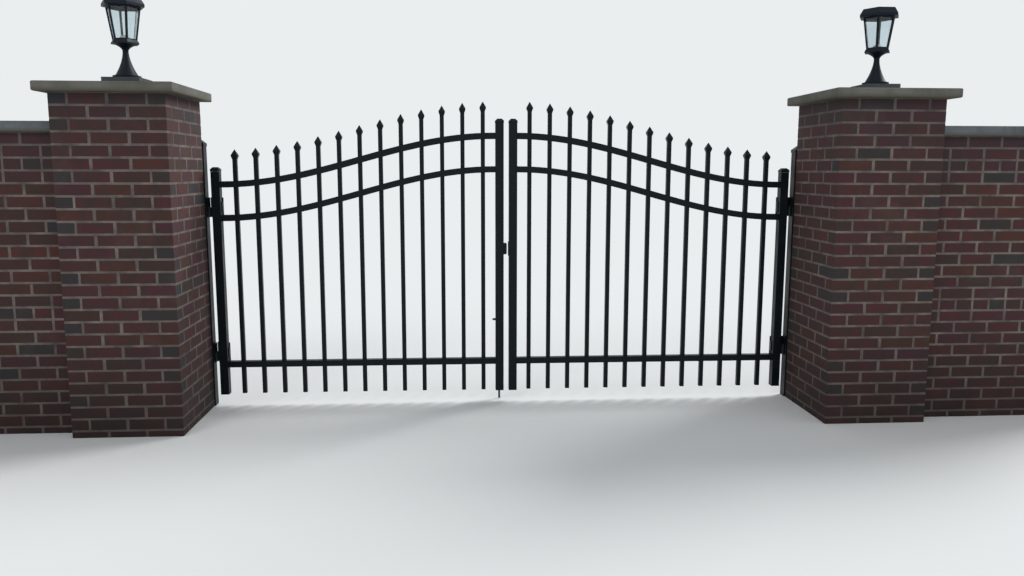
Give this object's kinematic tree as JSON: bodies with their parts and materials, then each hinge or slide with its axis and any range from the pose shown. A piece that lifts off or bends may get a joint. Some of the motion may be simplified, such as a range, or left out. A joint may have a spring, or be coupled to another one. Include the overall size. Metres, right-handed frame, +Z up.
{
  "type": "double-leaf wrought iron driveway gate",
  "caption": "Arched double-leaf driveway gate with spear pickets, hung on steel posts between brick piers with lanterns and wing walls; the leaves swing back and a drop rod lifts.",
  "frame": {"origin": "at ground level, in the middle of the bounding box, which is the middle of the opening across the gate", "axes": "+X along the gate to the right seen from the street, +Y away from the street towards the yard, +Z up"},
  "size_m": [7.296, 0.7594, 2.3961],
  "materials": {
    "brickwork": "rough",
    "cast_stone": "rough",
    "plinth_stone": "rough",
    "lantern_metal": "satin",
    "lantern_glass": "gloss",
    "lamp": "matt",
    "gate_steel": "satin",
    "hinge_steel": "satin",
    "rod_steel": "satin"
  },
  "bodies": {
    "piers": {"left_pier": "brickwork", "right_pier": "brickwork", "left_pier_cap": "cast_stone", "right_pier_cap": "cast_stone", "left_wall": "brickwork", "right_wall": "brickwork", "left_wall_coping": "cast_stone", "right_wall_coping": "cast_stone", "lantern_plinths": "plinth_stone", "left_lantern_pedestal": "lantern_metal", "right_lantern_pedestal": "lantern_metal", "left_lantern_cage": "lantern_metal", "right_lantern_cage": "lantern_metal", "left_lantern_glass": "lantern_glass", "right_lantern_glass": "lantern_glass", "left_lantern_roof": "lantern_metal", "right_lantern_roof": "lantern_metal", "left_lantern_lamp": "lamp", "right_lantern_lamp": "lamp", "left_hinge_post": "gate_steel", "right_hinge_post": "gate_steel", "left_post_cap": "gate_steel", "right_post_cap": "gate_steel", "left_post_hinges": "hinge_steel", "right_post_hinges": "hinge_steel"},
    "left_leaf": {"left_hinge_stile": "gate_steel", "left_latch_stile": "gate_steel", "left_stile_caps": "gate_steel", "left_bottom_rail": "gate_steel", "left_lower_arch_rail": "gate_steel", "left_upper_arch_rail": "gate_steel", "left_pickets": "gate_steel", "left_leaf_hinges": "hinge_steel", "latch_box": "hinge_steel", "drop_rod_guides": "hinge_steel"},
    "right_leaf": {"right_hinge_stile": "gate_steel", "right_latch_stile": "gate_steel", "right_stile_caps": "gate_steel", "right_bottom_rail": "gate_steel", "right_lower_arch_rail": "gate_steel", "right_upper_arch_rail": "gate_steel", "right_pickets": "gate_steel", "right_leaf_hinges": "hinge_steel", "latch_keeper": "hinge_steel"},
    "drop_rod": {"drop_rod": "rod_steel"}
  },
  "joints": [
    {"name": "left_leaf_swing", "type": "hinge", "parent": "piers", "child": "left_leaf", "pos_m": [-1.8068, 0.36673, 0.34], "axis": [0, 0, 1], "range_deg": [0, 90]},
    {"name": "right_leaf_swing", "type": "hinge", "parent": "piers", "child": "right_leaf", "pos_m": [1.8068, 0.36673, 0.34], "axis": [0, 0, -1], "range_deg": [0, 90]},
    {"name": "drop_rod_lift", "type": "slide", "parent": "left_leaf", "child": "drop_rod", "axis": [0, 0, 1], "range_m": [0, 0.1]}
  ]
}
